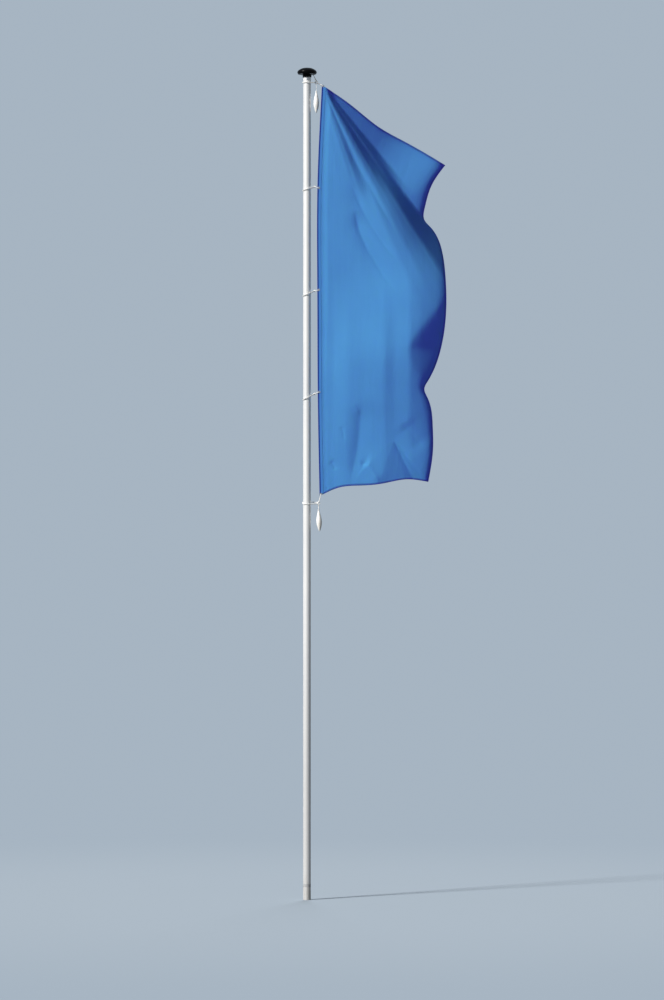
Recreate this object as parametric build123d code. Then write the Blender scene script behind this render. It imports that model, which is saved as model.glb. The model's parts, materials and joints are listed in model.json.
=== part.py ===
from build123d import *
import os
from math import acos, atan2, cos, degrees, exp, hypot, radians, sin

os.makedirs("parts", exist_ok=True)

# Millimetres, +Z up, origin on the flat underside of the foot, flag flying to +X

# Pole, its ground sleeve and the plug inside both
pole_diameter = 75.0
pole_wall = 2.0
pole_height = 8000.0
sleeve_height = 125.0
joint_ring_height = 30.0
joint_ring_bevel = 1.2
plug_length = 420.0
plug_wall = 6.0
plug_base = 12.0
slip_fit = 0.2

# Door in the back of the pole, its frame and lock, and the bar the halyard is tied to
door_centre_z = 1200.0
door_height = 240.0
door_width = 50.0
door_gap = 0.4
frame_lip = 6.0
frame_wall = 3.0
lock_diameter = 16.0
lock_length = 24.0
lock_drop = 80.0
lock_gap = 0.2
tie_bar_diameter = 10.0
tie_bar_gap = 0.5

# Collar bush in the top of the pole, held by three pan-head screws
bush_length = 100.0
bush_flange = 4.0
collar_screw_drop = 22.0
collar_screw_diameter = 8.0
collar_screw_length = 13.0
collar_screw_head = 16.0
collar_screw_head_height = 5.0
screw_gap = 0.1
screw_count = 3

# Turning head: hollow stem, hub, rain skirt and disc in one casting
washer_height = 2.0
washer_inner = 24.0
washer_outer = 34.0
stem_diameter = 44.0
stem_bore = 20.0
stem_tail = 16.0
stem_gap = 0.1
stem_nut_diameter = 60.0
stem_nut_gap = 0.4
hub_height = 20.0
skirt_diameter = 86.0
skirt_wall = 4.0
skirt_overlap = 3.0
disc_diameter = 160.0
disc_height = 5.0
rope_slot_length = 20.0
rope_slot_width = 12.0

# Mushroom cap over the disc
cap_diameter = 190.0
cap_height = 61.5
cap_wall = 3.0
cap_rim_gap = 0.3
cap_boss_diameter = 10.0
cap_boss_circle = 140.0
cap_screw_diameter = 4.0
cap_screw_length = 18.0
cap_screw_head = 9.0
cap_screw_head_height = 3.0

# Sheave under the cap, on a pin between two cheeks
sheave_pitch_radius = 20.0
sheave_radius = 22.5
sheave_width = 10.0
sheave_lift = 29.0
sheave_pin_diameter = 8.0
sheave_pin_length = 22.0
bore_gap = 0.1
cheek_gap = 0.5
cheek_wall = 2.5
cheek_width = 24.0
cheek_foot = 12.0
cheek_foot_height = 3.0

# Halyard and cord loops
rope_diameter = 6.0
cord_diameter = 8.0
weight_cord_diameter = 3.0
loop_bend_radius = 8.0
loop_pole_gap = 0.6
seat_gap = 0.3
ferrule_diameter = 10.0
ferrule_length = 18.0
halyard_below_disc = 10.0

# Link rings of the two flag corners, measured from the pole's surface and the flag's corners
link_radius = 13.0
link_wire = 6.0
top_link_reach = 52.5
top_link_rise = 22.0
bottom_link_reach = 74.5
bottom_link_drop = 75.0

# Snap hooks
hook_eye_radius = 8.0
hook_eye_wire = 5.5
hook_wire = 6.0
hook_bend_radius = 7.0
hook_loop_length = 26.0
hook_shank_diameter = 8.0

# Flag: cut size, the height of its top corner and how far each fastening stands from the pole
flag_fly = 1500.0
flag_hoist = 4000.0
flag_top_z = 7924.0
hoist_reach = (107.5, 63.5, 62.5, 67.0, 84.5)
band_width = 40.0
band_thickness = 3.0
band_top_slope = 27.0
band_bottom_slope = 13.0
cloth_thickness = 3.0
eyelet_inset = 14.0
eyelet_corner_inset = 12.0
eyelet_hole = 12.0
eyelet_barrel = 16.0
eyelet_flange = 24.0
eyelet_flange_height = 1.2
eyelet_gap = 0.1

# Middle loops: how far their bend stands from the pole, and their slope in degrees
loop_reach = 36.0
loop_slopes = (18.0, 23.5, 27.0)
loop_rises = (10.0, -11.0, -19.0)

# Outline of the flying cloth, in shares of the cut fly and of the cut hoist from the top corner
top_edge = ((0.191, 0.050), (0.373, 0.104), (0.539, 0.139), (0.663, 0.165), (0.800, 0.196))
fly_edge = (
    (0.800, 0.196), (0.713, 0.244), (0.667, 0.300), (0.663, 0.328), (0.704, 0.347),
    (0.783, 0.412), (0.801, 0.466), (0.807, 0.531), (0.762, 0.656), (0.685, 0.723),
    (0.664, 0.740), (0.685, 0.763), (0.718, 0.831), (0.720, 0.886), (0.689, 0.967),
)
bottom_edge = ((0.111, 0.981), (0.257, 0.976), (0.395, 0.971), (0.548, 0.961), (0.689, 0.967))

# Folds of the cloth: where each starts and ends in the same shares, its depth towards the back,
# and its half width at both ends
folds = (
    ((0.003, 0.006), (0.663, 0.328), -300.0, 30.0, 220.0),
    ((0.017, 0.031), (0.777, 0.424), 200.0, 20.0, 150.0),
    ((0.030, 0.069), (0.503, 0.374), -70.0, 25.0, 90.0),
    ((0.070, 0.356), (0.664, 0.740), 380.0, 150.0, 420.0),
    ((0.103, 0.681), (0.370, 0.966), -120.0, 120.0, 160.0),
    ((0.228, 0.806), (0.277, 0.959), 120.0, 60.0, 110.0),
    ((0.437, 0.806), (0.689, 0.967), -150.0, 100.0, 200.0),
)
fold_reach = 1.3
cloth_columns = 22
cloth_rows = 56
cloth_still_share = 0.10

# Weights
weight_length = 212.0
weight_diameter = 53.0
weight_knob_diameter = 16.0
weight_knob_height = 16.0
weight_lug = 6.0
weight_tip_diameter = 8.0
upper_weight_drop = 70.0
lower_hook_length = 62.0
lower_weight_tilt = 3.0

# Sizes worked out from the ones above
pole_r = pole_diameter / 2
bore_r = pole_r - pole_wall
rope_r = rope_diameter / 2
cord_r = cord_diameter / 2
tube_foot_z = sleeve_height + joint_ring_height
bush_top_z = pole_height + bush_flange
hub_z = bush_top_z + washer_height
disc_z = hub_z + hub_height
disc_top_z = disc_z + disc_height
sheave_z = disc_top_z + sheave_lift
link_wire_r = link_wire / 2
hook_wire_r = hook_wire / 2
eye_wire_r = hook_eye_wire / 2
corner_x = pole_r + hoist_reach[0]
hoist_pitch = flag_hoist / (len(hoist_reach) - 1)
flag_foot_z = flag_top_z - flag_hoist


def save(name, shape):
    export_step(shape, os.path.join("parts", name + ".step"))


def tube(outer, inner, low, high):
    return Pos(0, 0, low) * extrude(Circle(outer) - Circle(inner), high - low)


def rod(start, end, radius):
    axis = Vector(*end) - Vector(*start)
    return extrude(Plane(origin=start, z_dir=axis) * Circle(radius), axis.length)


def around(radius, count, first):
    step = 360.0 / count
    return [Rot(0, 0, first + step * i) * Pos(radius, 0, 0) for i in range(count)]


def pan_screw(head, head_height, shank, length):
    """A pan-head screw along X: its head's underside at X = 0, its head towards +X."""
    dome = fillet(Cylinder(head / 2, head_height, align=SEAT).edges().group_by(Axis.Z)[-1],
                  head_height * 0.4)
    body = dome + Pos(0, 0, -length) * Cylinder(shank / 2, length, align=SEAT)
    return Rot(0, 90, 0) * body


SEAT = (Align.CENTER, Align.CENTER, Align.MIN)


# Foot: plug with a closed bottom, ground sleeve and joint ring
def foot_plug():
    radius = bore_r - slip_fit
    body = Cylinder(radius, plug_length, align=SEAT)
    hollow = Pos(0, 0, plug_base) * Cylinder(radius - plug_wall, plug_length, align=SEAT)
    body -= hollow
    return chamfer(body.edges().group_by(Axis.Z)[-1].sort_by(SortBy.RADIUS)[-1], plug_wall / 3)


def joint_ring():
    ring = tube(pole_r, bore_r, sleeve_height, tube_foot_z)
    rims = [e for e in ring.edges().filter_by(GeomType.CIRCLE) if abs(e.radius - pole_r) < 0.01]
    return chamfer(rims, joint_ring_bevel)


# Door: a slot cut in the back of the tube, closed by a panel of the same curve
def door_slot(grow):
    plane = Plane(origin=(0, 0, door_centre_z), x_dir=(0, 0, 1), z_dir=(0, 1, 0))
    outline = SlotOverall(door_height + 2 * grow, door_width + 2 * grow)
    return extrude(plane * outline, pole_diameter)


def lock_bar(radius, start):
    z = door_centre_z - lock_drop
    face = (pole_r ** 2 - (lock_diameter / 2) ** 2) ** 0.5
    return rod((0, start, z), (0, face, z), radius)


def door_panel():
    reach = door_height
    shell = tube(pole_r, bore_r, door_centre_z - reach, door_centre_z + reach)
    hole = Pos(0, pole_r, door_centre_z - lock_drop) * Rot(90, 0, 0) * Cylinder(
        lock_diameter / 2 + lock_gap, pole_diameter / 2)
    return (shell & door_slot(-door_gap)) - hole


def door_frame():
    reach = door_height
    outer = bore_r - slip_fit
    shell = tube(outer, outer - frame_wall, door_centre_z - reach, door_centre_z + reach)
    return (shell & door_slot(frame_lip)) - door_slot(-frame_lip)


def door_lock():
    face = (pole_r ** 2 - (lock_diameter / 2) ** 2) ** 0.5
    return lock_bar(lock_diameter / 2, face - lock_length)


def tie_bar():
    half = bore_r - tie_bar_gap
    return rod((-half, 0, door_centre_z), (half, 0, door_centre_z), tie_bar_diameter / 2)


# Screws of the collar bush, one of them facing the camera's side
collar_screw_z = pole_height - collar_screw_drop
collar_screw_angle = -90.0


def collar_screws():
    screw = pan_screw(collar_screw_head, collar_screw_head_height,
                      collar_screw_diameter, collar_screw_length)
    seat = pole_r + screw_gap
    return [Pos(0, 0, collar_screw_z) * place * screw
            for place in around(seat, screw_count, collar_screw_angle)]


def collar_screw_holes():
    hole = Rot(0, 90, 0) * Cylinder(collar_screw_diameter / 2 + screw_gap,
                                    2 * collar_screw_length + 2 * screw_gap)
    return [Pos(0, 0, collar_screw_z) * place * hole
            for place in around(pole_r + screw_gap, screw_count, collar_screw_angle)]


def pole_tube():
    body = tube(pole_r, bore_r, tube_foot_z, pole_height) - door_slot(0)
    for hole in collar_screw_holes():
        body -= hole
    return body


def collar_bush():
    bore = stem_diameter / 2 + stem_gap
    body = tube(bore_r - slip_fit, bore, pole_height - bush_length, pole_height)
    body += tube(pole_r, bore, pole_height, bush_top_z)
    for hole in collar_screw_holes():
        body -= hole
    return body


# Turning head
stem_foot_z = pole_height - bush_length - stem_tail


def rope_tangent():
    """The rope's last point on the sheave and its direction from there to the top link ring."""
    target = Vector(top_link[0], 0, top_link[1] + link_radius)
    centre = Vector(sheave_pitch_radius, 0, sheave_z)
    reach = target - centre
    angle = atan2(reach.Z, reach.X) + acos(sheave_pitch_radius / reach.length)
    leave = centre + Vector(cos(angle), 0, sin(angle)) * sheave_pitch_radius
    return leave, (target - leave).normalized(), target, degrees(angle)


def turning_head():
    stem = stem_diameter / 2
    skirt = skirt_diameter / 2
    skirt_foot_z = pole_height - skirt_overlap
    section = Polyline(
        (stem_bore / 2, stem_foot_z), (stem, stem_foot_z), (stem, hub_z), (washer_outer, hub_z),
        (washer_outer, disc_z), (skirt - skirt_wall, disc_z), (skirt - skirt_wall, skirt_foot_z),
        (skirt, skirt_foot_z), (skirt, disc_z), (disc_diameter / 2, disc_z),
        (disc_diameter / 2, disc_top_z), (stem_bore / 2, disc_top_z), (stem_bore / 2, stem_foot_z),
    )
    body = revolve(Plane.XZ * make_face(section), Axis.Z)
    leave, way, target, angle = rope_tangent()
    slot_x = leave.X + way.X * (leave.Z - disc_z - disc_height / 2) / -way.Z
    body -= Pos(slot_x, 0, disc_z) * Box(rope_slot_length, rope_slot_width, 3 * disc_height)
    hole = Cylinder(cap_screw_diameter / 2 + screw_gap, 3 * disc_height)
    for place in around(cap_boss_circle / 2, screw_count, 60):
        body -= Pos(0, 0, disc_z) * place * hole
    return body


def stem_nut():
    top = pole_height - bush_length - stem_nut_gap
    return tube(stem_nut_diameter / 2, stem_diameter / 2 + screw_gap, stem_foot_z, top)


def mushroom_cap():
    top = disc_z + cap_height
    brim = cap_diameter / 2
    rim = disc_diameter / 2 + cap_rim_gap
    outer = Spline((0, top), (brim * 0.43, top - cap_height * 0.026),
                   (brim * 0.80, top - cap_height * 0.28), (brim * 0.974, top - cap_height * 0.54),
                   (brim, top - cap_height * 0.70), (brim * 0.96, top - cap_height * 0.88),
                   (brim * 0.905, disc_z), tangents=((1, 0), (-0.6, -1)))
    foot = Line((brim * 0.905, disc_z), (rim, disc_z))
    inside = Line((rim, disc_z), (rim, disc_z + cap_height * 0.36))
    dome = Spline((rim, disc_z + cap_height * 0.36), (brim * 0.74, top - cap_height * 0.33),
                  (brim * 0.42, top - cap_height * 0.075), (0, top - cap_wall),
                  tangents=((0, 1), (-1, 0)))
    axis = Line((0, top - cap_wall), (0, top))
    shell = revolve(Plane.XZ * make_face([outer, foot, inside, dome, axis]), Axis.Z)
    solid = revolve(Plane.XZ * make_face([outer, Line((brim * 0.905, disc_z), (0, disc_z)),
                                          Line((0, disc_z), (0, top))]), Axis.Z)
    boss = Cylinder(cap_boss_diameter / 2, cap_height, align=SEAT)
    hole = Cylinder(cap_screw_diameter / 2 + screw_gap, cap_screw_length * 2)
    for place in around(cap_boss_circle / 2, screw_count, 60):
        shell += (Pos(0, 0, disc_top_z) * place * boss) & solid
    for place in around(cap_boss_circle / 2, screw_count, 60):
        shell -= Pos(0, 0, disc_z) * place * hole
    return shell


def cap_screws():
    screw = Rot(0, 90, 0) * pan_screw(cap_screw_head, cap_screw_head_height, cap_screw_diameter,
                                      cap_screw_length - screw_gap)
    return [Pos(0, 0, disc_z) * place * screw
            for place in around(cap_boss_circle / 2, screw_count, 60)]


# Sheave on its pin, between cheeks that stand on the disc
def sheave():
    groove = rope_r + bore_gap
    body = Cylinder(sheave_radius, sheave_width)
    body -= Torus(sheave_pitch_radius, groove)
    body -= Cylinder(sheave_radius + 1, 2 * groove) - Cylinder(sheave_pitch_radius, 2 * groove)
    body -= Cylinder(sheave_pin_diameter / 2 + bore_gap, sheave_width)
    return Pos(sheave_pitch_radius, 0, sheave_z) * Rot(90, 0, 0) * body


def sheave_pin():
    pin = Cylinder(sheave_pin_diameter / 2, sheave_pin_length)
    pin = chamfer(pin.edges(), 0.6)
    return Pos(sheave_pitch_radius, 0, sheave_z) * Rot(90, 0, 0) * pin


def cheek(side):
    inner = sheave_width / 2 + cheek_gap
    plane = Plane(origin=(sheave_pitch_radius, side * inner, disc_top_z), x_dir=(1, 0, 0),
                  z_dir=(0, side, 0))
    up = 1 if side < 0 else -1
    outline = Pos(0, up * sheave_lift / 2) * Rectangle(cheek_width, sheave_lift)
    outline += Pos(0, up * sheave_lift) * Circle(cheek_width / 2)
    outline -= Pos(0, up * sheave_lift) * Circle(sheave_pin_diameter / 2 + bore_gap)
    plate = extrude(plane * outline, cheek_wall)
    middle = side * (inner + cheek_foot / 2)
    foot = Pos(sheave_pitch_radius, middle, disc_top_z) * Box(
        cheek_width, cheek_foot, cheek_foot_height, align=SEAT)
    return plate + foot


# Halyard: up the middle of the pole, over the sheave and out under the brim
def halyard_inside():
    foot = door_centre_z + tie_bar_diameter / 2 + seat_gap
    return rod((0, 0, foot), (0, 0, stem_foot_z), rope_r)


def halyard_out_start():
    leave, way, target, angle = rope_tangent()
    return leave + way * ((leave.Z - disc_z + halyard_below_disc) / -way.Z)


def halyard_over_sheave():
    leave, way, target, angle = rope_tangent()
    out = halyard_out_start()
    path = Line((0, stem_foot_z), (0, sheave_z))
    path += CenterArc((sheave_pitch_radius, sheave_z), sheave_pitch_radius, 180, angle - 180)
    path += Line((leave.X, leave.Z), (out.X, out.Z))
    return sweep(Pos(0, 0, stem_foot_z) * Circle(rope_r), path=Plane.XZ * path)


def halyard_outside():
    leave, way, target, angle = rope_tangent()
    end = target - way * (ferrule_length + eye_radius(rope_r))
    return rod(tuple(halyard_out_start()), tuple(end), rope_r)


def eye_radius(own_r):
    """Radius of an eye of this rope or wire that sits on a link ring's wire."""
    return link_wire_r + seat_gap + own_r


def halyard_end():
    leave, way, target, angle = rope_tangent()
    near = target - way * eye_radius(rope_r)
    far = near - way * ferrule_length
    eye = Pos(*target) * Rot(0, 90, 0) * Torus(eye_radius(rope_r), rope_r)
    return rod(tuple(far), tuple(near), ferrule_diameter / 2) + eye


# Link rings stand in the plane of the pole and the flag
top_link = (pole_r + top_link_reach, flag_top_z + top_link_rise)
bottom_link = (pole_r + bottom_link_reach, flag_foot_z - bottom_link_drop)


def link_ring(centre):
    return Pos(centre[0], 0, centre[1]) * Rot(90, 0, 0) * Torus(link_radius, link_wire_r)


# Cord loops: round the pole on one side, a tight bend on the other
def cord_loop(bend_x, slope, z):
    """A loop whose bend's middle line ends at bend_x along the loop, sloping up to +X."""
    big = (pole_r + loop_pole_gap + cord_r) / cos(radians(slope))
    small = loop_bend_radius
    reach = bend_x - small
    angle = degrees(acos((big - small) / reach))
    ring = Pos(0, 0, 0) * Torus(big, cord_r)
    wedge = loop_wedge(big + 2 * cord_r, angle)
    body = ring - wedge
    bend = Pos(reach, 0, 0) * (Torus(small, cord_r) & loop_wedge(small + 2 * cord_r, angle))
    body += bend
    for side in (-1, 1):
        a = Vector(big * cos(radians(angle)), side * big * sin(radians(angle)), 0)
        b = Vector(reach + small * cos(radians(angle)), side * small * sin(radians(angle)), 0)
        body += rod(tuple(a), tuple(b), cord_r)
    return Pos(0, 0, z) * Rot(0, -slope, 0) * body


def loop_wedge(size, half_angle):
    """A wedge of a disc about +X, to cut a ring at two radii."""
    start = Rot(0, 0, -half_angle)
    outline = make_face([
        Line((0, 0), (size * cos(radians(half_angle)), -size * sin(radians(half_angle)))),
        CenterArc((0, 0), size, -half_angle, 2 * half_angle),
        Line((size * cos(radians(half_angle)), size * sin(radians(half_angle))), (0, 0)),
    ])
    return extrude(Pos(0, 0, -size) * outline, 2 * size)


# Snap hooks: an eye, a shank and a long bent loop
def snap_hook(length, turned):
    """Along +X: the eye's first wire at X = 0, the loop's far wire at X = length."""
    eye = Torus(hook_eye_radius, eye_wire_r)
    if turned:
        eye = Rot(90, 0, 0) * eye
    body = Pos(hook_eye_radius, 0, 0) * eye
    near = length - hook_loop_length + hook_bend_radius
    far = length - hook_bend_radius
    body += rod((2 * hook_eye_radius - eye_wire_r, 0, 0), (near - hook_bend_radius + hook_wire_r, 0, 0),
                hook_shank_diameter / 2)
    bend = Torus(hook_bend_radius, hook_wire_r)
    half = Pos(10 * hook_bend_radius, 0, 0) * Box(20 * hook_bend_radius, 20 * hook_bend_radius,
                                                  20 * hook_bend_radius)
    body += Pos(far, 0, 0) * (bend & half)
    body += Pos(near, 0, 0) * (bend - half)
    for side in (-1, 1):
        y = side * hook_bend_radius
        body += rod((near, y, 0), (far, y, 0), hook_wire_r)
    return body


def bend_sag(half):
    """How far a hook's bent wire draws back, seen square on, at this distance from its middle."""
    level = (hook_bend_radius ** 2 - half ** 2) ** 0.5
    return hook_bend_radius - level + hook_wire_r * (hook_bend_radius / level - 1)


def hook_between(start, end, turned):
    """A hook from the middle of its eye's first wire to where its far wire rests."""
    run = Vector(end[0] - start[0], 0, end[1] - start[1])
    slope = degrees(atan2(run.Z, run.X))
    return Pos(start[0], 0, start[1]) * Rot(0, -slope, 0) * snap_hook(run.length, turned)


def toward(start, end, distance):
    run = hypot(end[0] - start[0], end[1] - start[1])
    share = distance / run
    return (start[0] + (end[0] - start[0]) * share, start[1] + (end[1] - start[1]) * share)


# Flag: hoist line, band, eyelets and cloth, drawn in the plane Y = 0
def hoist_points(shift, top_slope, foot_slope):
    points = [(pole_r + reach + shift, flag_top_z - hoist_pitch * i)
              for i, reach in enumerate(hoist_reach)]
    points[0] = (points[0][0], points[0][1] - top_slope)
    points[-1] = (points[-1][0], points[-1][1] + foot_slope)
    return points


hoist_line = Spline(*hoist_points(0, 0, 0))
band_line = Spline(*hoist_points(band_width, band_top_slope, band_bottom_slope))


def hoist_x(z):
    low, high = 0.0, 1.0
    for step in range(40):
        middle = (low + high) / 2
        if (hoist_line @ middle).Y > z:
            low = middle
        else:
            high = middle
    return (hoist_line @ low).X


def eyelet_places():
    last = len(hoist_reach) - 1
    drop = (flag_hoist - 2 * eyelet_corner_inset) / last
    places = []
    for i in range(last + 1):
        z = flag_top_z - eyelet_corner_inset - drop * i
        places.append((hoist_x(z) + eyelet_inset, z))
    return places


def hoist_band(places):
    outline = make_face([
        hoist_line, Line(hoist_line @ 1, band_line @ 1), band_line, Line(band_line @ 0, hoist_line @ 0)
    ])
    for x, z in places:
        outline -= Pos(x, z) * Circle(eyelet_barrel / 2 + eyelet_gap)
    return extrude(Plane.XZ * outline, band_thickness / 2, both=True)


def eyelets(places):
    half = band_thickness / 2 + eyelet_gap
    ring = Cylinder(eyelet_barrel / 2, 2 * half + 2 * eyelet_flange_height)
    for side in (-1, 1):
        z = side * (half + eyelet_flange_height / 2)
        ring += Pos(0, 0, z) * Cylinder(eyelet_flange / 2, eyelet_flange_height)
    ring -= Cylinder(eyelet_hole / 2, 4 * half + 4 * eyelet_flange_height)
    ring = Rot(90, 0, 0) * ring
    return Compound(children=[Pos(x, 0, z) * ring for x, z in places])


def in_mm(share):
    return (corner_x + share[0] * flag_fly, flag_top_z - share[1] * flag_hoist)


def fold_depth(x, z):
    depth = 0.0
    for start, end, height, first_width, last_width in folds:
        x0, z0 = in_mm(start)
        x1, z1 = in_mm(end)
        run = hypot(x1 - x0, z1 - z0)
        along = ((x - x0) * (x1 - x0) + (z - z0) * (z1 - z0)) / run / run
        across = ((x - x0) * (z1 - z0) - (z - z0) * (x1 - x0)) / run
        along = min(max(along, 0.0), fold_reach)
        width = first_width + (last_width - first_width) * along
        depth += height * along * exp(-(across / width) ** 2)
    return depth


def still_share(u):
    t = min(u / cloth_still_share, 1.0)
    return t * t * (3 - 2 * t)


def flag_cloth():
    shift = seat_gap
    start = band_line.moved(Pos(shift, 0))
    top = Spline(start @ 0, *[in_mm(p) for p in top_edge])
    fly = Spline(*[in_mm(p) for p in fly_edge])
    bottom = Spline(start @ 1, *[in_mm(p) for p in bottom_edge])
    at_length = PositionMode.LENGTH
    rows = []
    for i in range(cloth_rows + 1):
        v = i / cloth_rows
        left = start.position_at(v * start.length, position_mode=at_length)
        right = fly.position_at(v * fly.length, position_mode=at_length)
        row = []
        for j in range(cloth_columns + 1):
            u = j / cloth_columns
            over = top.position_at(u * top.length, position_mode=at_length)
            under = bottom.position_at(u * bottom.length, position_mode=at_length)
            flat = (over * (1 - v) + under * v + left * (1 - u) + right * u
                    - ((start @ 0) * (1 - u) + (top @ 1) * u) * (1 - v)
                    - ((start @ 1) * (1 - u) + (bottom @ 1) * u) * v)
            depth = fold_depth(flat.X, flat.Y) * still_share(u)
            row.append(Vector(flat.X, depth - cloth_thickness / 2, flat.Y))
        rows.append(row)
    surface = Face.make_surface_from_array_of_points(rows, tol=1.0, min_deg=3, max_deg=3)
    return extrude(surface, cloth_thickness, dir=(0, 1, 0))


# Weights: a spindle with a bored knob on top, hanging from X, Z
def weight(hole_across):
    r = weight_diameter / 2
    length = weight_length
    neck = weight_knob_diameter * 0.42
    side = Spline((neck, -weight_knob_height), (r * 0.72, -length * 0.30), (r, -length * 0.53),
                  (r * 0.74, -length * 0.80), (weight_tip_diameter / 2, -length))
    outline = make_face([
        Line((0, -weight_knob_height), (neck, -weight_knob_height)), side,
        Line((weight_tip_diameter / 2, -length), (0, -length)), Line((0, -length), (0, -weight_knob_height)),
    ])
    body = revolve(Plane.XZ * outline, Axis.Z)
    knob = Pos(0, 0, -weight_knob_height - 2) * Cylinder(
        weight_knob_diameter / 2, weight_knob_height + 2, align=SEAT)
    knob = fillet(knob.edges().group_by(Axis.Z)[-1], 2)
    if hole_across:
        knob &= Box(weight_diameter, weight_lug, 4 * weight_knob_height)
    body += knob
    if hole_across:
        body -= Pos(0, 0, -weight_knob_height / 2) * Rot(90, 0, 0) * Cylinder(
            hook_wire_r + seat_gap + bend_sag(weight_lug / 2), weight_knob_diameter * 2)
    else:
        body -= Cylinder(weight_cord_diameter / 2 + seat_gap, weight_knob_height)
    return body


def upper_weight_parts():
    x, z = top_link[0], top_link[1] - link_radius
    own_r = weight_cord_diameter / 2
    eye = Pos(x, 0, z) * Rot(0, 90, 0) * Torus(eye_radius(own_r), own_r)
    top = z - upper_weight_drop
    cord = eye + rod((x, 0, top - weight_knob_height / 2), (x, 0, z - eye_radius(own_r)), own_r)
    return Pos(x, 0, top) * weight(False), cord


def lower_weight_parts():
    x, z = bottom_link[0], bottom_link[1] - link_radius
    start = (x, z + link_wire_r + seat_gap + eye_wire_r)
    end = (x, start[1] - lower_hook_length)
    hook = hook_between(start, end, False)
    top = end[1] + weight_knob_height / 2
    place = Pos(x, 0, end[1]) * Rot(0, -lower_weight_tilt, 0) * Pos(0, 0, weight_knob_height / 2)
    return place * weight(True), hook


def build():
    save("foot_plug", foot_plug())
    save("ground_sleeve", tube(pole_r, bore_r, 0, sleeve_height))
    save("joint_ring", joint_ring())
    save("pole_tube", pole_tube())
    save("door_panel", door_panel())
    save("door_frame", door_frame())
    save("door_lock", door_lock())
    save("tie_bar", tie_bar())
    save("halyard_inside", halyard_inside())
    save("collar_bush", collar_bush())
    for i, screw in enumerate(collar_screws()):
        save(f"collar_screw_{i + 1}", screw)
    save("thrust_washer", tube(washer_outer, washer_inner, bush_top_z, hub_z))

    save("turning_head", turning_head())
    save("stem_nut", stem_nut())
    save("mushroom_cap", mushroom_cap())
    for i, screw in enumerate(cap_screws()):
        save(f"cap_screw_{i + 1}", screw)
    save("sheave", sheave())
    save("sheave_pin", sheave_pin())
    save("cheek_front", cheek(-1))
    save("cheek_back", cheek(1))
    save("halyard_over_sheave", halyard_over_sheave())
    save("halyard_outside", halyard_outside())

    places = eyelet_places()
    save("halyard_end", halyard_end())
    save("top_link", link_ring(top_link))
    save("bottom_link", link_ring(bottom_link))
    save("hoist_band", hoist_band(places))
    save("eyelets", eyelets(places))
    save("flag_cloth", flag_cloth())

    inside_link = link_radius - link_wire_r - seat_gap
    hook_rest = eyelet_hole / 2 - hook_wire_r - seat_gap - bend_sag(
        band_thickness / 2 + eyelet_gap + eyelet_flange_height)
    save("top_loop", cord_loop(top_link[0] - inside_link + cord_r, 0, top_link[1]))
    save("bottom_loop", cord_loop(bottom_link[0] - inside_link + cord_r, 0, bottom_link[1]))
    for name, link, place in (("hook_top", top_link, places[0]),
                              ("hook_bottom", bottom_link, places[-1])):
        start = toward(link, place, inside_link - eye_wire_r)
        save(name, hook_between(start, toward(place, link, hook_rest), False))
    for i, slope in enumerate(loop_slopes):
        place = places[i + 1]
        bend = (pole_r + loop_reach) / cos(radians(slope))
        z = place[1] + loop_rises[i] - bend * sin(radians(slope))
        save(f"loop_{i + 1}", cord_loop(bend, slope, z))
        end = (bend * cos(radians(slope)), z + bend * sin(radians(slope)))
        start = toward(end, place, -cord_r - seat_gap - eye_wire_r)
        save(f"hook_{i + 1}", hook_between(start, toward(place, start, hook_rest), True))

    heavy, cord = upper_weight_parts()
    save("upper_weight", heavy)
    save("upper_weight_cord", cord)
    heavy, hook = lower_weight_parts()
    save("lower_weight", heavy)
    save("lower_weight_hook", hook)


build()
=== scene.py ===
import json
from math import atan, cos, pi, radians, sin

import bmesh
import bpy
import numpy as np
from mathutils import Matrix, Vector


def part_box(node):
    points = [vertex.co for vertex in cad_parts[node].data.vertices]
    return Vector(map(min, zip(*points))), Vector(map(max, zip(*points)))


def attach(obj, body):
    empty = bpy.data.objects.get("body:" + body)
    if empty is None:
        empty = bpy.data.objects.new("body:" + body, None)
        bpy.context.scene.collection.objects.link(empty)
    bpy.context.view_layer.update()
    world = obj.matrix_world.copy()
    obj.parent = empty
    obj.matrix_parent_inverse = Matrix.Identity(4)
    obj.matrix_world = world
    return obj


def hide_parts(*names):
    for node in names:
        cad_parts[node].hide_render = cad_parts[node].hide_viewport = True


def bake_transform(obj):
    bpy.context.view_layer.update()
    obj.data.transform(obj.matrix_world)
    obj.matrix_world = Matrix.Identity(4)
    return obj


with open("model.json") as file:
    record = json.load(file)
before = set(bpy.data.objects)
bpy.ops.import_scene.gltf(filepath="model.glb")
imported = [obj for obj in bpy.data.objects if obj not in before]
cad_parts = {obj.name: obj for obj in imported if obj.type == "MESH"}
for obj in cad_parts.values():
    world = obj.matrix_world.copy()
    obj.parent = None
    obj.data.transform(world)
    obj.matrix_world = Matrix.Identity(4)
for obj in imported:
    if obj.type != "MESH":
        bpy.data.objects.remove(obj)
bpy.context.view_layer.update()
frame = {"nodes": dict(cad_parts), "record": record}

nodes = frame["nodes"]

# Metres, in the frame of the solids: +Z up the pole, the flag flies to +X, the viewer looks along +Y
pole_r = 0.0375
flag_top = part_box("eyelets")[1].z
flag_fly = 1.5
flag_hoist = 4.0

# Hoist edge: how far it stands from the pole at the five fastenings, and the tape sewn along it
hoist_reach = (0.1075, 0.0635, 0.0625, 0.0670, 0.0845)
tape_width = 0.040
tape_slopes = (0.027, 0.013)
tape_thickness = 0.0026
tape_seam = 0.004
tape_columns = 10
tape_rows = 240
# Painted shadow line on the tape's pole-side edge: full up to the first distance, gone at the second
tape_edge_shade = (0.012, 0.015)

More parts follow.
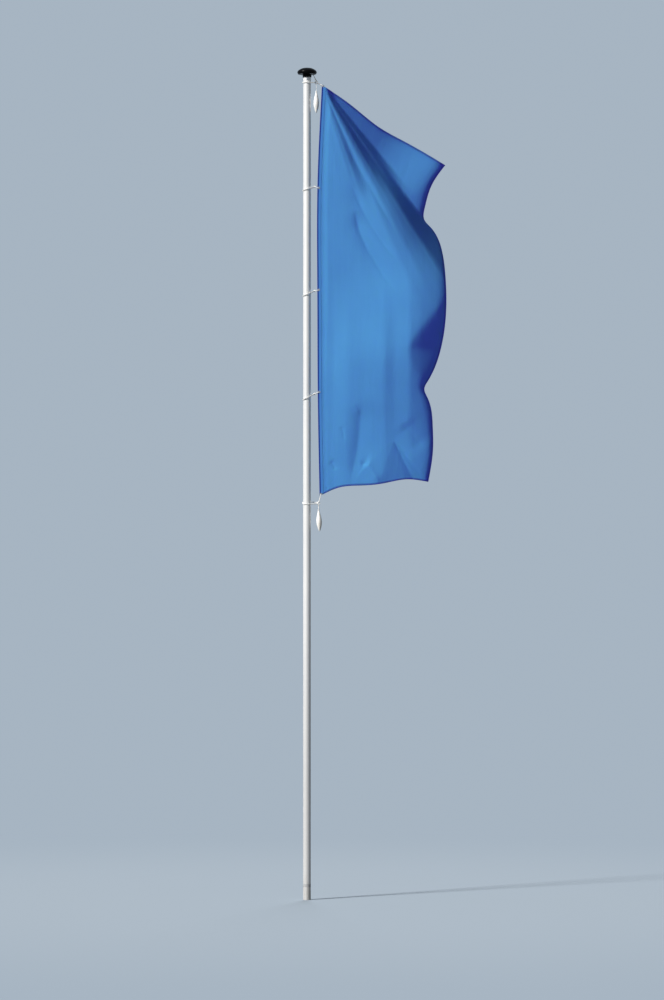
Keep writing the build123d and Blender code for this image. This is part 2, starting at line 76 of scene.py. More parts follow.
# Outline of the flying cloth, in shares of the cut fly and hoist from the top corner
top_edge = ((0.191, 0.050), (0.373, 0.104), (0.539, 0.139), (0.663, 0.165), (0.800, 0.196))
fly_edge = (
    (0.800, 0.196), (0.713, 0.244), (0.667, 0.300), (0.663, 0.328), (0.704, 0.347),
    (0.783, 0.412), (0.801, 0.466), (0.807, 0.531), (0.762, 0.656), (0.685, 0.723),
    (0.664, 0.740), (0.685, 0.763), (0.718, 0.831), (0.720, 0.886), (0.689, 0.967),
)
bottom_edge = ((0.111, 0.981), (0.257, 0.976), (0.395, 0.971), (0.548, 0.961), (0.689, 0.967))

# The outline is drawn as it is seen from here, level with the viewer's eye: cloth that stands
# farther back is larger by its depth's share of the distance
eye_distance = 38.0
eye_height = 3.118

# Fan of folds that runs down from the top corner: angle below the horizontal in degrees, and the
# depth away from the viewer for each metre from the corner, near the corner and farther out
fan_apex = (-0.009, 0.017)
fan_near = (
    (30.0, 0.34), (50.5, 0.33), (54.0, 0.21), (56.0, 0.17), (60.0, 0.03), (62.5, -0.01), (66.5, -0.015),
    (70.0, -0.055), (73.0, -0.06), (80.0, -0.045), (92.0, 0.0),
)
fan_far = (
    (30.0, 0.21), (53.3, 0.22), (57.4, 0.01), (60.0, -0.035), (62.5, -0.065), (66.0, -0.08), (70.0, -0.07),
    (75.0, -0.045), (92.0, 0.0),
)
fan_softness = 0.7
fan_change = (0.78, 1.46)
fan_end = (1.75, 2.85)

# Pleats in the fan: angle, height toward the viewer for each metre from the corner, half width in
# degrees. They run out at pleat_reach
pleats = ((55.0, 0.008, 1.0), (64.0, 0.010, 1.5), (74.0, 0.008, 2.5))
pleat_reach = 1.5

# Billow of the cloth below the fan: distance from the hoist and depth, and how it flattens lower down
billow = (
    (0.04, 0.0), (0.15, -0.03), (0.30, -0.11), (0.45, -0.15), (0.65, -0.22), (0.75, -0.22), (0.90, -0.25),
    (1.00, -0.23), (1.25, -0.15),
)
billow_softness = 0.022
billow_flattens = (-2.50, -3.60, 0.45)

# Pocket where the fly edge turns away: its point from the top corner, slope, and how its edges
# open above and below that point
pocket_point = (0.839, -2.584)
pocket_slope = 0.34
pocket_open = (0.80, 0.46)
pocket_round = 0.058
pocket_softness = 0.020

# Facets that spread from a point at the foot: angle below the horizontal, depth by distance
facet_apex = (0.700, -3.470)
facets = (
    (38.0, 0.0), (50.0, 0.02), (62.6, 0.22), (75.0, 0.15), (90.0, 0.09), (110.0, 0.03), (140.0, 0.0),
)
facet_softness = 2.0

# Single creases: three points that pull their curve, depth, how far the cloth gives way on its left
# and on its right as one looks along it, and how far its middle is rounded. They fade at both ends
creases = (
    (((0.225, -0.577), (0.406, -0.894), (0.693, -1.396)), 0.012, 0.040, 0.050, 0.008),
    (((0.293, -0.986), (0.420, -1.337), (0.683, -1.659)), 0.024, 0.050, 0.060, 0.008),
    (((0.328, -1.259), (0.352, -1.532), (0.703, -2.000)), 0.028, 0.050, 0.070, 0.008),
    (((0.381, -3.120), (0.381, -3.461), (0.274, -3.890)), 0.022, 0.060, 0.120, 0.020),
    (((0.420, -3.685), (0.479, -3.715), (0.566, -3.890)), -0.020, 0.060, 0.050, 0.004),
    (((0.800, -3.305), (0.878, -3.403), (0.985, -3.539)), 0.012, 0.080, 0.080, 0.010),
    (((0.381, -3.700), (0.420, -3.685), (0.459, -3.690)), 0.010, 0.015, 0.030, 0.004),
    (((0.186, -3.335), (0.206, -3.364), (0.216, -3.461)), 0.005, 0.014, 0.014, 0.004),
    (((0.303, -3.110), (0.332, -3.149), (0.362, -3.208)), -0.005, 0.014, 0.014, 0.004),
    (((0.089, -3.666), (0.118, -3.705), (0.128, -3.754)), 0.007, 0.020, 0.020, 0.006),
    (((0.001, -3.948), (0.030, -3.939), (0.060, -3.939)), 0.008, 0.012, 0.012, 0.003),
)
crease_ends = (-0.1, 0.75)
crease_fade = 0.35

# Curl of the fly and top edges: depth, how fast it dies away, and where the top's begins
fly_curl = 0.042
fly_curl_share = 0.024
top_curl = 0.022
top_curl_share = 0.0085
top_curl_begins = 0.25
cloth_still_share = 0.06
cloth_thickness = 0.0012

# Light that the cloth lets through from behind: its share and its colour
cloth_glow = (0.35, (0.31, 0.08, 1.0))

# Hems and the grid that the cloth is laid on
hem_width = 0.022
stitch_waves = 1400.0
hem_thickness = 0.0026
cloth_columns = 130
cloth_rows = 360

# Cords
cord_r = 0.004
rope_r = 0.003
loop_gap = 0.0006
loop_bend_r = 0.008
loop_slopes = {"top_loop": 0.0, "loop_1": 18.0, "loop_2": 23.5, "loop_3": 27.0, "bottom_loop": 0.0}
loop_lift = {"bottom_loop": 0.0095, "top_loop": 0.0025}
loop_ripple = 0.25
loop_ripple_rate = 160.0
braid_strands = 6
braid_depth = 0.16
braid_around = 28
braid_step = 0.0011
halyard_steps = 20


# Node trees
class Value:
    """A socket of one finish's node tree, on which sums and products add Math nodes."""

    def __init__(self, finish, socket):
        self.finish = finish
        self.socket = socket

    def math(self, operation, a, b):
        return self.finish.math(operation, a, b)

    def __add__(self, other):
        return self.math("ADD", self, other)

    def __radd__(self, other):
        return self.math("ADD", other, self)

    def __sub__(self, other):
        return self.math("SUBTRACT", self, other)

    def __rsub__(self, other):
        return self.math("SUBTRACT", other, self)

    def __mul__(self, other):
        return self.math("MULTIPLY", self, other)

    def __rmul__(self, other):
        return self.math("MULTIPLY", other, self)

    def __truediv__(self, other):
        return self.math("DIVIDE", self, other)

    def __rtruediv__(self, other):
        return self.math("DIVIDE", other, self)

    def between(self, low, high, first=0.0, last=1.0):
        """Goes smoothly from first to last as the value goes from low to high."""
        return self.finish.node(
            "MapRange", {"interpolation_type": "SMOOTHSTEP"},
            {"Value": self, "From Min": low, "From Max": high, "To Min": first, "To Max": last})


class Finish:
    """A material whose nodes are added one by one."""

    def __init__(self, name):
        self.material = bpy.data.materials.new(name)
        self.material.use_nodes = True
        self.tree = self.material.node_tree
        self.tree.nodes.clear()

    def node(self, kind, settings=None, inputs=None, out=0):
        made = self.tree.nodes.new("ShaderNode" + kind)
        for name, value in (settings or {}).items():
            setattr(made, name, value)
        for name, value in (inputs or {}).items():
            if isinstance(value, Value):
                self.tree.links.new(value.socket, made.inputs[name])
            else:
                made.inputs[name].default_value = value
        return Value(self, made.outputs[out]) if made.outputs else None

    def math(self, operation, *values):
        return self.node("Math", {"operation": operation}, dict(enumerate(values)))

    def place(self, stretch=(1, 1, 1), source="Object"):
        where = self.node("TexCoord", out=source)
        return self.node("Mapping", {}, {"Vector": where, "Scale": stretch})

    def noise(self, vector, scale, detail=2.0, roughness=0.5):
        return self.node("TexNoise", {}, {
            "Vector": vector, "Scale": scale, "Detail": detail, "Roughness": roughness})

    def mix(self, a, b, share):
        """A colour between a and b."""
        return self.node("Mix", {"data_type": "RGBA"}, {0: share, 6: a, 7: b}, out=2)

    def bump(self, height, strength, distance, under=None):
        inputs = {"Height": height, "Strength": strength, "Distance": distance}
        if under:
            inputs["Normal"] = under
        return self.node("Bump", {}, inputs)

    def surface(self, let_through=None, **sockets):
        """A Principled surface. let_through gives a share of the light from behind, and its colour."""
        names = {name.replace("_", " "): value for name, value in sockets.items()}
        shader = self.node("BsdfPrincipled", {}, names)
        if let_through:
            share, colour = let_through
            glow = self.node("BsdfTranslucent", {}, {"Color": rgb(*colour)})
            shader = self.node("MixShader", {}, {0: share, 1: shader, 2: glow})
        self.node("OutputMaterial", {}, {"Surface": shader})
        return self.material


def rgb(r, g, b):
    return (r, g, b, 1.0)


def shaded(tint, r, g, b):
    """The tint with its red, green and blue scaled."""
    return rgb(tint[0] * r, tint[1] * g, tint[2] * b)


# Finishes
def anodised(name, tint, dull):
    f = Finish(name)
    where = f.place()
    along = f.place(stretch=(60, 60, 0.35))
    clouds = f.noise(where, 1.7, 3.0)
    streaks = f.noise(along, 1.0, 4.0, 0.6)
    lines = f.noise(f.place(stretch=(900, 900, 0.8)), 1.0, 2.0)
    height = f.node("SeparateXYZ", {}, {"Vector": where}, out="Z")
    splash = height.between(0.0, 0.55, 1.0, 0.0) * f.noise(f.place(stretch=(30, 30, 9)), 1.0, 4.0)
    grime = splash.between(0.25, 0.75)
    pale = shaded(tint, 1.04, 1.04, 1.03)
    worn = shaded(tint, 0.86, 0.88, 0.92)
    base = f.mix(pale, worn, (clouds * 0.5 + streaks * 0.5).between(0.35, 0.75))
    low = height.between(0.8, 3.4, 1.0, 0.0)
    base = f.mix(base, shaded(tint, 0.74, 0.74, 0.75), low * 0.8)
    base = f.mix(base, rgb(0.34, 0.31, 0.26), grime * 0.55)
    rough = 0.30 + streaks * 0.10 + clouds * 0.08 + grime * 0.25 + dull
    return f.surface(Base_Color=base, Metallic=0.25, Roughness=rough, Specular_IOR_Level=0.15,
                     Normal=f.bump(lines, 0.06, 0.0004))


def black_cap(name):
    f = Finish(name)
    where = f.place()
    facing = f.node("SeparateXYZ", {}, {"Vector": f.node("NewGeometry", out="Normal")}, out="Z")
    dust = facing.between(0.25, 1.0) * f.noise(where, 34.0, 5.0, 0.65).between(0.42, 0.78)
    haze = f.noise(where, 7.0, 3.0)
    base = f.mix(rgb(0.002, 0.002, 0.0025), rgb(0.03, 0.029, 0.026), dust * 0.15)
    rough = 0.24 + haze * 0.10 + dust * 0.30
    peel = f.noise(where, 420.0, 2.0)
    return f.surface(Base_Color=base, Roughness=rough, Normal=f.bump(peel, 0.05, 0.0003),
                     Specular_IOR_Level=0.06)


def moulded(name, tint, aged, gloss):
    f = Finish(name)
    where = f.place()
    clouds = f.noise(where, 16.0, 3.0)
    specks = f.noise(where, 260.0, 4.0, 0.7)
    scuffs = f.noise(f.place(stretch=(90, 90, 22)), 1.0, 4.0).between(0.58, 0.74)
    base = f.mix(rgb(*tint), rgb(*aged), clouds.between(0.3, 0.75) * 0.7 + scuffs * 0.3)
    rough = gloss + clouds * 0.12 + scuffs * 0.15
    return f.surface(Base_Color=base, Roughness=rough, Normal=f.bump(specks, 0.08, 0.0003),
                     Subsurface_Weight=0.30, Subsurface_Scale=0.010,
                     Subsurface_Radius=(1.0, 0.95, 0.90))


def metal(name, tint, rough_low, grain):
    f = Finish(name)
    where = f.place()
    brushed = f.noise(f.place(stretch=(grain, 60, grain)), 1.0, 3.0)
    stains = f.noise(where, 55.0, 4.0, 0.6).between(0.52, 0.8)
    base = f.mix(rgb(*tint), shaded(tint, 0.55, 0.50, 0.44), stains * 0.6)
    rough = rough_low + brushed * 0.12 + stains * 0.3
    return f.surface(Base_Color=base, Metallic=1.0, Roughness=rough,
                     Normal=f.bump(brushed, 0.08, 0.0002))


def rope_fibre(name, follows_surface):
    """White polyester cord with painted shade in its grooves. Modelled braids bring their own relief."""
    f = Finish(name)
    if follows_surface:
        where = f.place(source="UV")
        fibres = f.noise(f.place(stretch=(2600, 500, 1), source="UV"), 1.0, 3.0)
        groove = f.node("Attribute", {"attribute_name": "groove"}, out="Fac")
    else:
        where = f.place()
        fibres = f.noise(f.place(stretch=(1500, 1500, 500)), 1.0, 3.0)
        twist = f.node("TexWave", {"wave_type": "BANDS", "bands_direction": "DIAGONAL"}, {
            "Vector": where, "Scale": 210.0, "Distortion": 1.5, "Detail": 1.0})
        groove = twist.between(0.0, 0.6, 1.0, 0.0)
    soil = f.noise(where, 45.0, 4.0, 0.6).between(0.4, 0.75)
    # The grey is painted shade in the grooves, and real soil where the soil noise lies
    base = f.mix(rgb(0.93, 0.93, 0.91), rgb(0.62, 0.61, 0.57), groove * 0.35 + soil * 0.15)
    return f.surface(Base_Color=base, Roughness=0.75 + soil * 0.12,
                     Normal=f.bump(fibres - groove * 0.8, 0.35, 0.0005),
                     Subsurface_Weight=0.2, Subsurface_Scale=0.003, Subsurface_Radius=(1.0, 0.95, 0.90))


def flag_fabric(name, tint, hemmed):
    """Knitted polyester with fine wales along the hoist. Flag cloth is hemmed, lets light through and has
    painted shade along its hems. Hoist webbing isn't, and has a painted shadow line by the pole."""
    f = Finish(name)
    flat = f.place(source="UV")
    wales = f.node("TexWave", {"wave_type": "BANDS", "bands_direction": "X"}, {
        "Vector": flat, "Scale": 420.0, "Distortion": 0.6, "Detail": 1.0, "Detail Scale": 2.0})
    courses = f.node("TexWave", {"wave_type": "BANDS", "bands_direction": "Y"}, {
        "Vector": flat, "Scale": 340.0, "Distortion": 0.5})
    ripples = f.noise(f.place(stretch=(17.0, 2.0, 1.0), source="UV"), 1.0, 3.0, 0.5)
    crumple = f.noise(f.place(stretch=(26.0, 22.0, 1.0), source="UV"), 1.0, 3.0, 0.6)
    clouds = f.noise(flat, 1.6, 4.0, 0.55)
    slubs = f.noise(f.place(stretch=(700.0, 60.0, 1.0), source="UV"), 1.0, 3.0)
    u = f.node("SeparateXYZ", {}, {"Vector": flat}, out="X")
    v = f.node("SeparateXYZ", {}, {"Vector": flat}, out="Y")
    thread_u = f.math("SINE", u * stitch_waves).between(-0.5, -0.2)
    thread_v = f.math("SINE", v * stitch_waves).between(-0.5, -0.2)
    if hemmed:
        from_fly = flag_fly - u
        from_end = f.math("MINIMUM", v, flag_hoist - v)
        edge = f.math("MINIMUM", from_fly, from_end)
        # Painted shade along the hems, where the cloth rolls away at its edges, and its deeper colour
        edge_shade = edge.between(hem_width * 0.9, hem_width * 1.1, 1.0, 0.0)
        edge_shade_tint = shaded(tint, 0.55, 0.46, 0.58)
        thread = f.math("MAXIMUM", seam(f, from_fly, hem_width * 0.8) * thread_v,
                        seam(f, from_end, hem_width * 0.8) * thread_u)
    else:
        # Painted shadow along the tape's edge by the pole, and its dark colour
        edge_shade = u.between(*tape_edge_shade, 1.0, 0.0)
        edge_shade_tint = shaded(tint, 0.18, 0.12, 0.40)
        thread = f.math("MAXIMUM", seam(f, u, tape_seam), seam(f, u, tape_width - tape_seam)) * thread_v
    deep = shaded(tint, 0.80, 0.84, 0.90)
    base = f.mix(rgb(*tint), deep, clouds.between(0.35, 0.7) * 0.45 + slubs * 0.15)
    # The edge strips take their painted shade or painted shadow colour
    base = f.mix(base, edge_shade_tint, edge_shade)
    base = f.mix(base, shaded(tint, 2.2, 1.6, 1.2), thread * 0.7)
    folds = f.bump(ripples, 0.4, 0.007)
    folds = f.bump(crumple, 0.35, 0.003, folds)
    weave = f.bump(wales * 0.6 + courses * 0.4 + thread * 1.5, 0.3, 0.0004, folds)
    return f.surface(cloth_glow if hemmed else None, Base_Color=base, Roughness=0.72 + slubs * 0.12,
                     Normal=weave, Specular_IOR_Level=0.06)


def seam(f, distance, place):
    """1 along the line at this distance from an edge."""
    away = f.math("ABSOLUTE", distance - place)
    return away.between(0.0004, 0.0009, 1.0, 0.0)


flag_blue = (0.083, 0.384, 0.550)
tape_blue = (0.067, 0.240, 0.640)
finishes = {
    "anodised_aluminium": anodised("anodised", (0.86, 0.855, 0.845), 0.0),
    "black_plastic": black_cap("black_cap_moulding"),
    "grey_plastic": moulded("grey_moulding", (0.50, 0.51, 0.53), (0.40, 0.40, 0.40), 0.42),
    "steel": metal("stainless", (0.55, 0.55, 0.56), 0.24, 700),
    "white_rope": rope_fibre("white_cord_plain", False),
    "white_plastic": moulded("white_moulding", (0.95, 0.94, 0.915), (0.90, 0.88, 0.83), 0.30),
    "flag_blue": flag_fabric("flag_knit", flag_blue, True),
    "nickel": metal("nickel_plate", (0.68, 0.67, 0.65), 0.16, 500),
}
braided = rope_fibre("white_cord_braided", True)
tape_cloth = flag_fabric("hoist_webbing", tape_blue, False)
slot_of = {row["node"]: row["material_slot"] for row in frame["record"]["subparts"]}
for node_name, node in nodes.items():
    node.data.materials.clear()
    node.data.materials.append(finishes[slot_of[node_name]])


# Mesh helpers
def new_piece(name, bm, body, material):
    mesh = bpy.data.meshes.new(name)
    bm.to_mesh(mesh)
    bm.free()
    mesh.materials.append(material)
    for polygon in mesh.polygons:
        polygon.use_smooth = True
    piece = bpy.data.objects.new(name, mesh)
    bpy.context.scene.collection.objects.link(piece)
    if body:
        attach(piece, body)
    return piece


def laid_grid(across, along, place, flat=(1.0, 1.0)):
    """A grid whose point at shares (u, v) goes to place(u, v), with flat's size as its UV."""
    bm = bmesh.new()
    bmesh.ops.create_grid(bm, x_segments=across, y_segments=along, size=0.5)
    shares = np.array([(v.co.x + 0.5, v.co.y + 0.5) for v in bm.verts])
    places = place(shares[:, 0], shares[:, 1])
    uv = bm.loops.layers.uv.new("UVMap")
    for face in bm.faces:
        for loop in face.loops:
            u, v = shares[loop.vert.index]
            loop[uv].uv = (u * flat[0], v * flat[1])
    for vert, where in zip(bm.verts, places):
        vert.co = where
    return bm, shares


def smooth_step(t):
    t = np.clip(t, 0.0, 1.0)
    return t * t * (3 - 2 * t)


def softened(points, t, width):
    """The broken line through points, with its corners rounded over width."""
    places, values = zip(*points)
    shifts = (-1.0, -0.5, 0.0, 0.5, 1.0)
    return sum(np.interp(t + shift * width, places, values) for shift in shifts) / len(shifts)


def curve_through(points, samples=600):
    """A smooth curve through points, as a function of the share of its length."""
    points = np.array(points, float)
    steps = np.hypot(*np.diff(points, axis=0).T)
    knots = np.concatenate([[0.0], np.cumsum(steps)])
    count = len(points)
    matrix = np.zeros((count, count))
    right = np.zeros((count, 2))
    matrix[0, 0] = matrix[-1, -1] = 1.0
    for i in range(1, count - 1):
        matrix[i, i - 1] = steps[i - 1]
        matrix[i, i] = 2 * (steps[i - 1] + steps[i])
        matrix[i, i + 1] = steps[i]
        right[i] = 6 * ((points[i + 1] - points[i]) / steps[i] - (points[i] - points[i - 1]) / steps[i - 1])
    bend = np.linalg.solve(matrix, right)
    t = np.linspace(0, knots[-1], samples)
    i = np.clip(np.searchsorted(knots, t) - 1, 0, count - 2)
    h = steps[i][:, None]
    a = (knots[i + 1] - t)[:, None] / h
    b = 1 - a
    line = a * points[i] + b * points[i + 1]
    line += ((a ** 3 - a) * bend[i] + (b ** 3 - b) * bend[i + 1]) * h * h / 6
    length = np.concatenate([[0.0], np.cumsum(np.hypot(*np.diff(line, axis=0).T))])
    share = length / length[-1]

    def at(s):
        return np.stack([np.interp(s, share, line[:, 0]), np.interp(s, share, line[:, 1])], axis=-1)

    return at


# Flag
corner = (pole_r + hoist_reach[0], flag_top)


def from_corner(share):
    return (corner[0] + share[0] * flag_fly, corner[1] - share[1] * flag_hoist)


def hoist_curve(shift, top_drop, foot_rise):
    pitch = flag_hoist / (len(hoist_reach) - 1)
    points = [[pole_r + reach + shift, flag_top - pitch * i] for i, reach in enumerate(hoist_reach)]
    points[0][1] -= top_drop
    points[-1][1] += foot_rise
    return curve_through(points)


tape_share = 0.95
hoist_side = hoist_curve(0.0, 0.0, 0.0)
cloth_start = hoist_curve(tape_width * tape_share, tape_slopes[0] * tape_share, tape_slopes[1] * tape_share)
top_side = curve_through([cloth_start(0.0)] + [from_corner(p) for p in top_edge])
fly_side = curve_through([from_corner(p) for p in fly_edge])
bottom_side = curve_through([cloth_start(1.0)] + [from_corner(p) for p in bottom_edge])


def crease_depth(x, z, bend, height, left, right, middle):
    """A fold along the curve that the three points of bend pull, faded at both ends."""
    t = np.linspace(0.0, 1.0, 25)[:, None]
    start, pull, end = (np.array(point) for point in bend)
    line = start * (1 - t) ** 2 + pull * 2 * t * (1 - t) + end * t ** 2
    nearest = np.full(x.shape, 1e9)
    along = np.zeros(x.shape)
    side = np.zeros(x.shape)
    for i, (a, b) in enumerate(zip(line[:-1], line[1:])):
        way = b - a
        share = ((x - a[0]) * way[0] + (z - a[1]) * way[1]) / (way @ way)
        share = np.clip(share, -20.0 if i == 0 else 0.0, 20.0 if i == len(line) - 2 else 1.0)
        out_x = x - a[0] - share * way[0]
        out_z = z - a[1] - share * way[1]
        away = np.hypot(out_x, out_z)
        closer = away < nearest
        nearest = np.where(closer, away, nearest)
        side = np.where(closer, way[0] * out_z - way[1] * out_x, side)
        along = np.where(closer, (i + share) / (len(line) - 1), along)
    first, last = crease_ends
    fades = smooth_step((along - first) / crease_fade) * (1 - smooth_step((along - last) / crease_fade))
    width = np.where(side < 0, left, right)
    return height * fades * np.exp((middle - np.hypot(nearest, middle)) / width)


def cloth_depth(x, z):
    """How far the cloth stands behind the hoist, from the viewer."""
    dx = x - corner[0]
    dz = z - corner[1]
    ax = dx - fan_apex[0]
    az = dz - fan_apex[1]
    reach = np.hypot(ax, az)
    angle = np.degrees(np.arctan2(-az, ax))
    near = softened(fan_near, angle, fan_softness)
    far = softened(fan_far, angle, fan_softness)
    start, end = fan_change
    change = smooth_step((reach - start) / (end - start))
    slope = near * (1 - change) + far * change
    pleated = 1 - smooth_step(reach / pleat_reach)
    for middle, height, width in pleats:
        slope = slope - height * pleated * np.exp(-((angle - middle) / width) ** 2)
    high = reach * slope
    low = softened(billow, x - pole_r - min(hoist_reach), billow_softness)
    start, end, flat = billow_flattens
    low = low * (1 - (1 - flat) * smooth_step((dz - start) / (end - start)))
    above = dz - pocket_point[1]
    opening = np.sqrt(above ** 2 + pocket_round ** 2) - pocket_round
    opening = opening * np.where(above > 0, pocket_open[0], pocket_open[1])
    edge = (dx - pocket_point[0] - opening) / pocket_softness
    low = low + pocket_slope * pocket_softness * np.logaddexp(0.0, edge)
    share = smooth_step((reach - fan_end[0]) / (fan_end[1] - fan_end[0]))
    depth = high * (1 - share) + low * share
    facet_x = dx - facet_apex[0]
    facet_z = dz - facet_apex[1]
    turn = np.degrees(np.arctan2(-facet_z, facet_x))
    depth = depth + np.hypot(facet_x, facet_z) * softened(facets, turn, facet_softness)
    for crease in creases:
        depth = depth + crease_depth(dx, dz, *crease)
    return depth


def cloth_place(u, v):
    left, right = cloth_start(v), fly_side(v)
    over, under = top_side(u), bottom_side(u)
    u2, v2 = u[:, None], v[:, None]
    flat = over * (1 - v2) + under * v2 + left * (1 - u2) + right * u2
    flat -= (cloth_start(0.0) * (1 - u2) + top_side(1.0) * u2) * (1 - v2)
    flat -= (cloth_start(1.0) * (1 - u2) + bottom_side(1.0) * u2) * v2
    x, z = flat[:, 0], flat[:, 1]
    depth = cloth_depth(x, z) * smooth_step(u / cloth_still_share)
    depth += fly_curl * np.exp((u - 1) / fly_curl_share)
    depth -= top_curl * np.exp(-v / top_curl_share) * smooth_step(u / top_curl_begins)
    grow = 1 + depth / eye_distance
    return np.stack([x * grow, depth, eye_height + (z - eye_height) * grow], axis=1)


def make_flag():
    bm, shares = laid_grid(cloth_columns, cloth_rows, cloth_place, (flag_fly, flag_hoist))
    bmesh.ops.recalc_face_normals(bm, faces=bm.faces)
    flag = new_piece("flag", bm, "flag_set", finishes["flag_blue"])
    u, v = shares[:, 0] * flag_fly, shares[:, 1] * flag_hoist
    edge = np.minimum(np.minimum(flag_fly - u, v), flag_hoist - v)
    hem = 1 - smooth_step((edge - hem_width * 0.85) / (hem_width * 0.3))
    group = flag.vertex_groups.new(name="thickness")
    thin = cloth_thickness / hem_thickness
    for i, share in enumerate(hem):
        group.add([i], thin + (1 - thin) * float(share), "REPLACE")
    wall = flag.modifiers.new("cloth", "SOLIDIFY")
    wall.thickness = hem_thickness
    wall.offset = 0.0
    wall.vertex_group = "thickness"
    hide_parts("flag_cloth")
    return flag


def make_tape():
    def place(u, v):
        inner = hoist_curve(tape_width, *tape_slopes)
        line = hoist_side(v) * (1 - u[:, None]) + inner(v) * u[:, None]
        return np.stack([line[:, 0], np.zeros(len(u)), line[:, 1]], axis=1)

    bm, shares = laid_grid(tape_columns, tape_rows, place, (tape_width, flag_hoist))
    bmesh.ops.recalc_face_normals(bm, faces=bm.faces)
    tape = new_piece("hoist_tape", bm, "flag_set", tape_cloth)
    wall = tape.modifiers.new("webbing", "SOLIDIFY")
    wall.thickness = tape_thickness
    wall.offset = 0.0
    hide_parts("hoist_band")
    return tape


flag = make_flag()
tape = make_tape()


# Cords: braided sheaths laid along a plane path
def braid(angle, along, radius):
    """Relief of a braided sheath, from 0 in its grooves to 1 on its strands."""
    pitch = 2 * pi * radius / braid_strands * 1.25
    p = angle * braid_strands + along / pitch
    q = angle * braid_strands - along / pitch
    over = 0.5 + 0.5 * np.sin(pi * (p + q) / 2) * np.sign(np.cos(pi * (p - q) / 2))
    first = np.abs(np.sin(pi * p)) * (0.72 + 0.28 * over)
    second = np.abs(np.sin(pi * q)) * (1.0 - 0.28 * over)
    return np.maximum(first, second)


def braided_cord(name, path, radius, body, side, closed=False):
    """A cord of this radius along path, which lies in the plane that side stands on."""
    path = np.array(path, float)
    if closed:
        path = np.concatenate([path, path[:1]])
    length = np.concatenate([[0.0], np.cumsum(np.linalg.norm(np.diff(path, axis=0), axis=1))])
    total = length[-1]
    rings = max(int(total / braid_step), 8)
    side = np.array(side, float)

    def place(u, v):
        s = v * total
        centre = np.stack([np.interp(s, length, path[:, k]) for k in range(3)], axis=1)
        reach = radius * 0.5
        ahead, behind = s + reach, s - reach
        if closed:
            ahead, behind = ahead % total, behind % total
        else:
            ahead, behind = np.minimum(ahead, total), np.maximum(behind, 0)
        way = np.stack([np.interp(ahead, length, path[:, k]) - np.interp(behind, length, path[:, k])
                        for k in range(3)], axis=1)
        way /= np.linalg.norm(way, axis=1)[:, None]
        out = np.cross(way, side)
        angle = u * 2 * pi
        relief = braid(u, s, radius)
        r = radius * (1 - braid_depth * (1 - relief))
        return centre + out * (np.cos(angle) * r)[:, None] + side * (np.sin(angle) * r)[:, None]

    bm, shares = laid_grid(braid_around, rings, place, (2 * pi * radius, total))
    groove = bm.verts.layers.float.new("groove")
    for vert, relief in zip(bm.verts, braid(shares[:, 0], shares[:, 1] * total, radius)):
        vert[groove] = float(1 - relief)
    bmesh.ops.remove_doubles(bm, verts=bm.verts, dist=radius * 0.01)
    if not closed:
        bmesh.ops.holes_fill(bm, edges=bm.edges, sides=0)
    bmesh.ops.recalc_face_normals(bm, faces=bm.faces)
    return new_piece(name, bm, body, braided)


def loop_path(name, samples=240):
    """The middle line of a cord loop round the pole, from the box of its solid."""
    low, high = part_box(name)
    slope = radians(loop_slopes[name])
    big = (pole_r + loop_gap + cord_r) / cos(slope)
    end_x = (high.x - cord_r) / cos(slope)
    middle_z = high.z - cord_r - end_x * sin(slope)
    reach = end_x - loop_bend_r
    half = np.arccos((big - loop_bend_r) / reach)
    large = np.linspace(half, 2 * pi - half, samples)
    small = np.linspace(-half, half, samples // 4)
    line = [(big * np.cos(a), big * np.sin(a)) for a in large]
    line += [(reach + loop_bend_r * np.cos(a), loop_bend_r * np.sin(a)) for a in small]
    lift = loop_lift.get(name, 0.0)
    path = []
    for x, y in line:
        rise = lift * np.tanh(y / loop_bend_r) * (1 + loop_ripple * sin(x * loop_ripple_rate))
        path.append((x * cos(slope), y, middle_z + x * sin(slope) + rise))
    return path, slope


for loop_name in loop_slopes:
    path, slope = loop_path(loop_name)
    loop = braided_cord(loop_name + "_cord", path, cord_r, "flag_set", (-sin(slope), 0, cos(slope)), True)
    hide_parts(loop_name)


def make_halyard_run():
    """The halyard from the head to the end on the top link ring, which it follows when lowered."""
    low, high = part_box("halyard_outside")
    run = high - low
    tilt = atan(run.x / run.z)
    for step in range(6):
        tilt = atan((run.x - 2 * rope_r * cos(tilt)) / (run.z - 2 * rope_r * sin(tilt)))
    start = Vector((low.x + rope_r * cos(tilt), 0, high.z - rope_r * sin(tilt)))
    end = Vector((high.x - rope_r * cos(tilt), 0, low.z + rope_r * sin(tilt)))
    line = [start.lerp(end, i / halyard_steps) for i in range(halyard_steps + 1)]
    rope = braided_cord("halyard_run", line, rope_r, None, (0, 1, 0))
    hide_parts("halyard_outside")
    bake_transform(rope)


make_halyard_run()


# Floor, light and camera
sky = rgb(0.385, 0.460, 0.540)
ambient = rgb(0.90, 0.95, 1.0)
ambient_strength = 0.135
key_strength = 4.65
key_colour = (1.0, 0.975, 0.94)
key_from = (-0.645, -0.504, 0.574)
key_spread = 8.0
fill_strength = 3.0
fill_colour = (0.94, 0.97, 1.0)
fill_from = (0.10, 0.95, 0.30)
fill_spread = 30.0
floor_colour = rgb(0.34, 0.40, 0.465)
floor_radius = 90.0
floor_fade = (2.5, 10.0)


def sun(name, from_point, strength, colour, spread, glints=True):
    lamp = bpy.data.lights.new(name, "SUN")
    lamp.energy = strength
    lamp.color = colour
    lamp.angle = radians(spread)
    item = bpy.data.objects.new(name, lamp)
    item.rotation_mode = "QUATERNION"
    item.rotation_quaternion = Vector(from_point).to_track_quat("Z", "Y")
    item.visible_glossy = glints
    bpy.context.scene.collection.objects.link(item)


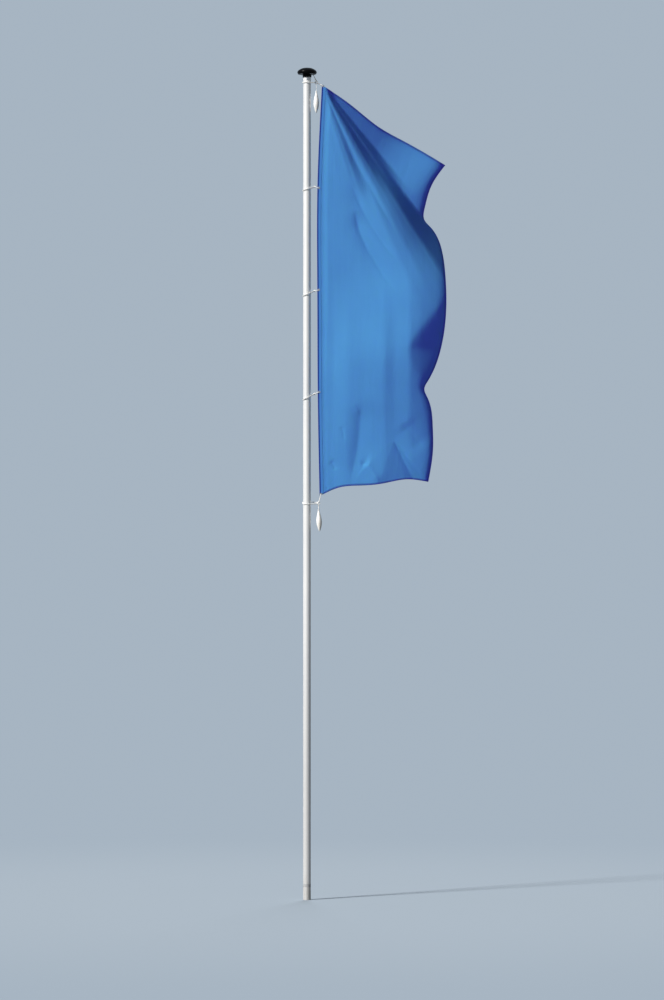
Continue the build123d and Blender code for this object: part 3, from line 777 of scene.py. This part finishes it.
def make_world():
    world = bpy.data.worlds.new("studio")
    world.use_nodes = True
    tree = world.node_tree
    tree.nodes.clear()
    ray = tree.nodes.new("ShaderNodeLightPath")
    seen = tree.nodes.new("ShaderNodeMath")
    seen.operation = "MAXIMUM"
    tree.links.new(ray.outputs["Is Camera Ray"], seen.inputs[0])
    tree.links.new(ray.outputs["Is Glossy Ray"], seen.inputs[1])
    shown = tree.nodes.new("ShaderNodeBackground")
    shown.inputs["Color"].default_value = sky
    light = tree.nodes.new("ShaderNodeBackground")
    light.inputs["Color"].default_value = ambient
    light.inputs["Strength"].default_value = ambient_strength
    both = tree.nodes.new("ShaderNodeMixShader")
    tree.links.new(seen.outputs[0], both.inputs[0])
    tree.links.new(light.outputs[0], both.inputs[1])
    tree.links.new(shown.outputs[0], both.inputs[2])
    out = tree.nodes.new("ShaderNodeOutputWorld")
    tree.links.new(both.outputs[0], out.inputs["Surface"])
    bpy.context.scene.world = world


def make_floor():
    f = Finish("studio_floor")
    where = f.place()
    x = f.node("SeparateXYZ", {}, {"Vector": where}, out="X")
    y = f.node("SeparateXYZ", {}, {"Vector": where}, out="Y")
    away = f.math("SQRT", x * x + y * y)
    plain = f.node("BsdfDiffuse", {}, {"Color": floor_colour})
    glow = f.node("Emission", {}, {"Color": sky})
    mixed = f.node("MixShader", {}, {0: away.between(*floor_fade), 1: plain, 2: glow})
    f.node("OutputMaterial", {}, {"Surface": mixed})
    bm = bmesh.new()
    bmesh.ops.create_circle(bm, cap_ends=True, segments=96, radius=floor_radius)
    mesh = bpy.data.meshes.new("floor")
    bm.to_mesh(mesh)
    bm.free()
    mesh.materials.append(f.material)
    floor = bpy.data.objects.new("floor", mesh)
    bpy.context.scene.collection.objects.link(floor)
    floor.visible_diffuse = False


make_world()
make_floor()
sun("key", key_from, key_strength, key_colour, key_spread)
sun("fill", fill_from, fill_strength, fill_colour, fill_spread, glints=False)

# The photograph's frame is 1000 pixels high. Its middle is (332, 500), the foot of the pole stands
# at (307, 900) and the horizon lies at 578
frame_height = 1000.0
frame_middle = (332.0, 500.0)
foot_pixel_x = 307.0
horizon_pixel = 578.3
pixels_per_metre = 102.9
film = 36.0


def make_camera():
    focal = pixels_per_metre * eye_distance
    data = bpy.data.cameras.new("camera")
    data.sensor_width = film
    data.lens = focal / frame_height * film
    data.clip_end = 500.0
    camera = bpy.data.objects.new("camera", data)
    camera.location = (0.0, -eye_distance, eye_height)
    pitch = atan((horizon_pixel - frame_middle[1]) / focal)
    turn = atan((frame_middle[0] - foot_pixel_x) / focal)
    camera.rotation_euler = (pi / 2 + pitch, 0.0, -turn)
    bpy.context.scene.collection.objects.link(camera)
    bpy.context.scene.camera = camera


make_camera()
bpy.context.scene.view_settings.view_transform = "Standard"
